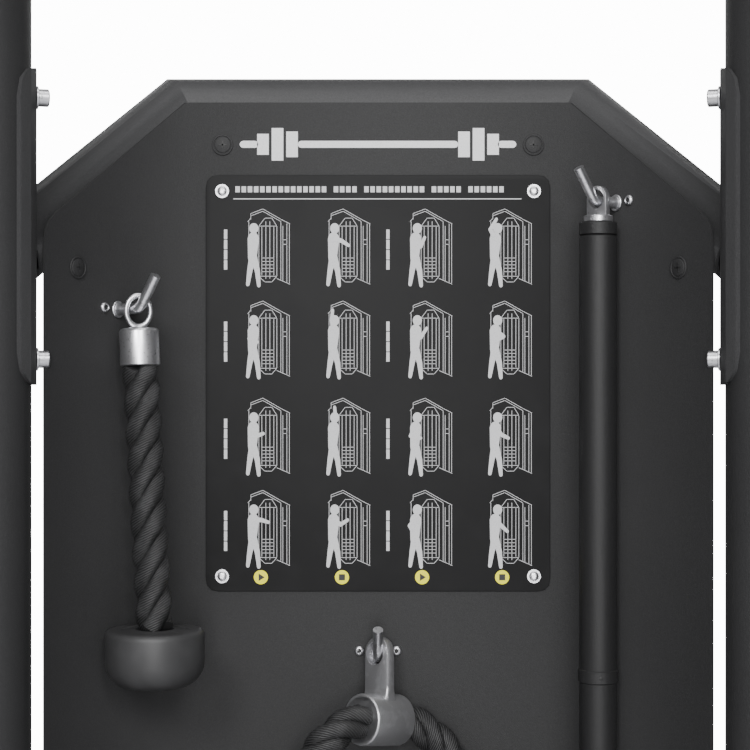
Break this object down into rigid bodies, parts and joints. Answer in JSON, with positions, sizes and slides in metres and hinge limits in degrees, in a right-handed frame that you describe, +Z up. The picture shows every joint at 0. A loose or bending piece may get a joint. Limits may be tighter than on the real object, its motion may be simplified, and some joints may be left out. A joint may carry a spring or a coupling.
{
  "type": "functional trainer",
  "caption": "Dual adjustable pulley gym machine with weight towers in a V, chrome columns, pull-up bar and stored rope and bar handles.",
  "frame": {"origin": "on the floor under the middle of the machine's outline", "axes": "+X to the user's right when facing the panel, +Y towards the back, +Z up"},
  "size_m": [1.294, 1.2086, 2.3811],
  "materials": {
    "frame_coat": "fine textured charcoal powder coat",
    "panel_coat": "matte speckled charcoal powder coat",
    "placard_print": "satin printed sheet",
    "satin_steel": "satin turned steel",
    "rope": "twisted black nylon",
    "rubber": "matte moulded rubber",
    "bar_coat": "matte black powder coat",
    "chrome": "polished chrome",
    "plate_paint": "semi-matte black enamel",
    "black_plastic": "moulded nylon",
    "cable_jacket": "smooth black jacket on steel cable"
  },
  "bodies": {
    "root": {"center_top_beam": "frame_coat", "center_bottom_beam": "frame_coat", "front_panel": "panel_coat", "placard": "placard_print", "pull_up_bar": "frame_coat", "hook_left": "satin_steel", "hook_right": "satin_steel", "hook_center": "satin_steel", "inner_post_right": "frame_coat", "outer_post_right": "frame_coat", "tower_base_right": "frame_coat", "tower_top_right": "frame_coat", "guide_rod_inner_right": "chrome", "guide_rod_outer_right": "chrome", "resting_plates_right": "plate_paint", "column_right": "chrome", "column_frame_right": "frame_coat", "column_cable_right": "cable_jacket", "stack_cable_right": "cable_jacket", "inner_post_left": "frame_coat", "outer_post_left": "frame_coat", "tower_base_left": "frame_coat", "tower_top_left": "frame_coat", "guide_rod_inner_left": "chrome", "guide_rod_outer_left": "chrome", "resting_plates_left": "plate_paint", "column_left": "chrome", "column_frame_left": "frame_coat", "column_cable_left": "cable_jacket", "stack_cable_left": "cable_jacket"},
    "carriage_right": {"carriage_right": "frame_coat"},
    "swivel_arm_right": {"swivel_arm_right": "frame_coat", "cable_end_right": "black_plastic"},
    "swivel_pulley_right": {"swivel_pulley_right": "black_plastic"},
    "plunger_right": {"plunger_knob_right": "black_plastic"},
    "lifted_stack_right": {"lifted_plates_right": "plate_paint"},
    "selector_pin_right": {"selector_pin_right": "black_plastic"},
    "column_pulley_right": {"column_pulley_right": "black_plastic"},
    "tower_pulley_right": {"tower_pulley_right": "black_plastic"},
    "carriage_left": {"carriage_left": "frame_coat"},
    "swivel_arm_left": {"swivel_arm_left": "frame_coat", "cable_end_left": "black_plastic"},
    "swivel_pulley_left": {"swivel_pulley_left": "black_plastic"},
    "plunger_left": {"plunger_knob_left": "black_plastic"},
    "lifted_stack_left": {"lifted_plates_left": "plate_paint"},
    "selector_pin_left": {"selector_pin_left": "black_plastic"},
    "column_pulley_left": {"column_pulley_left": "black_plastic"},
    "tower_pulley_left": {"tower_pulley_left": "black_plastic"},
    "single_rope_handle": {"rope_fitting": "satin_steel", "single_rope": "rope", "single_bumper": "rubber"},
    "straight_bar": {"bar_eye": "satin_steel", "bar": "bar_coat"},
    "double_rope": {"center_sleeve": "satin_steel", "center_rope": "rope", "center_bumper_left": "rubber", "center_bumper_right": "rubber"}
  },
  "joints": [
    {"name": "carriage_slide_right", "type": "slide", "parent": "root", "child": "carriage_right", "axis": [0, 0, 1], "range_m": [0, 1.35]},
    {"name": "arm_swivel_right", "type": "hinge", "parent": "carriage_right", "child": "swivel_arm_right", "pos_m": [0.605, -0.43913, 0.47], "axis": [0, 0, 1], "range_deg": [-80, 80]},
    {"name": "swivel_pulley_spin_right", "type": "hinge", "parent": "swivel_arm_right", "child": "swivel_pulley_right", "pos_m": [0.605, -0.48413, 0.47], "axis": [1, 0, 0], "continuous": true},
    {"name": "plunger_pull_right", "type": "slide", "parent": "carriage_right", "child": "plunger_right", "axis": [-1, 0, 0], "range_m": [0, 0.012], "stiffness_N_per_m": 1500, "springref_m": -0.01},
    {"name": "stack_lift_right", "type": "slide", "parent": "root", "child": "lifted_stack_right", "axis": [0, 0, 1], "range_m": [0, 0.9], "deforming": ["stack_cable_right"]},
    {"name": "pin_pull_right", "type": "slide", "parent": "lifted_stack_right", "child": "selector_pin_right", "axis": [-0.832, -0.5548, 0], "range_m": [0, 0.07]},
    {"name": "column_pulley_spin_right", "type": "hinge", "parent": "root", "child": "column_pulley_right", "pos_m": [0.59359, -0.3956, 2.072], "axis": [-0.9673, -0.2535, 0], "continuous": true},
    {"name": "tower_pulley_spin_right", "type": "hinge", "parent": "root", "child": "tower_pulley_right", "pos_m": [0.45584, 0.13012, 2.072], "axis": [-0.9673, -0.2535, 0], "continuous": true},
    {"name": "carriage_slide_left", "type": "slide", "parent": "root", "child": "carriage_left", "axis": [0, 0, 1], "range_m": [0, 1.35]},
    {"name": "arm_swivel_left", "type": "hinge", "parent": "carriage_left", "child": "swivel_arm_left", "pos_m": [-0.605, -0.43913, 0.47], "axis": [0, 0, 1], "range_deg": [-80, 80]},
    {"name": "swivel_pulley_spin_left", "type": "hinge", "parent": "swivel_arm_left", "child": "swivel_pulley_left", "pos_m": [-0.605, -0.48413, 0.47], "axis": [1, 0, 0], "continuous": true},
    {"name": "plunger_pull_left", "type": "slide", "parent": "carriage_left", "child": "plunger_left", "axis": [1, 0, 0], "range_m": [0, 0.012], "stiffness_N_per_m": 1500, "springref_m": -0.01},
    {"name": "stack_lift_left", "type": "slide", "parent": "root", "child": "lifted_stack_left", "axis": [0, 0, 1], "range_m": [0, 0.9], "deforming": ["stack_cable_left"]},
    {"name": "pin_pull_left", "type": "slide", "parent": "lifted_stack_left", "child": "selector_pin_left", "axis": [0.832, -0.5548, 0], "range_m": [0, 0.07]},
    {"name": "column_pulley_spin_left", "type": "hinge", "parent": "root", "child": "column_pulley_left", "pos_m": [-0.59359, -0.3956, 2.072], "axis": [-0.9673, 0.2535, 0], "continuous": true},
    {"name": "tower_pulley_spin_left", "type": "hinge", "parent": "root", "child": "tower_pulley_left", "pos_m": [-0.45584, 0.13012, 2.072], "axis": [-0.9673, 0.2535, 0], "continuous": true},
    {"name": "single_rope_swing", "type": "hinge", "parent": "root", "child": "single_rope_handle", "pos_m": [-0.1945, 0.45181, 1.5643], "axis": [-0.9317, -0.3633, 0], "range_deg": [0, 20]},
    {"name": "bar_swing", "type": "hinge", "parent": "root", "child": "straight_bar", "pos_m": [0.18146, 0.47461, 1.647], "axis": [-0.5548, 0.832, 0], "range_deg": [0, 15]},
    {"name": "double_rope_swing", "type": "hinge", "parent": "root", "child": "double_rope", "pos_m": [0, 0.51387, 1.2624], "axis": [-1, 0, 0], "range_deg": [0, 15]}
  ],
  "couplings": [
    {"joint": "column_pulley_spin_right", "follows": "stack_lift_right", "rad_per_m": 22.222},
    {"joint": "tower_pulley_spin_right", "follows": "stack_lift_right", "rad_per_m": 22.222},
    {"joint": "swivel_pulley_spin_right", "follows": "stack_lift_right", "rad_per_m": -22.222},
    {"joint": "column_pulley_spin_left", "follows": "stack_lift_left", "rad_per_m": 22.222},
    {"joint": "tower_pulley_spin_left", "follows": "stack_lift_left", "rad_per_m": 22.222},
    {"joint": "swivel_pulley_spin_left", "follows": "stack_lift_left", "rad_per_m": -22.222}
  ]
}
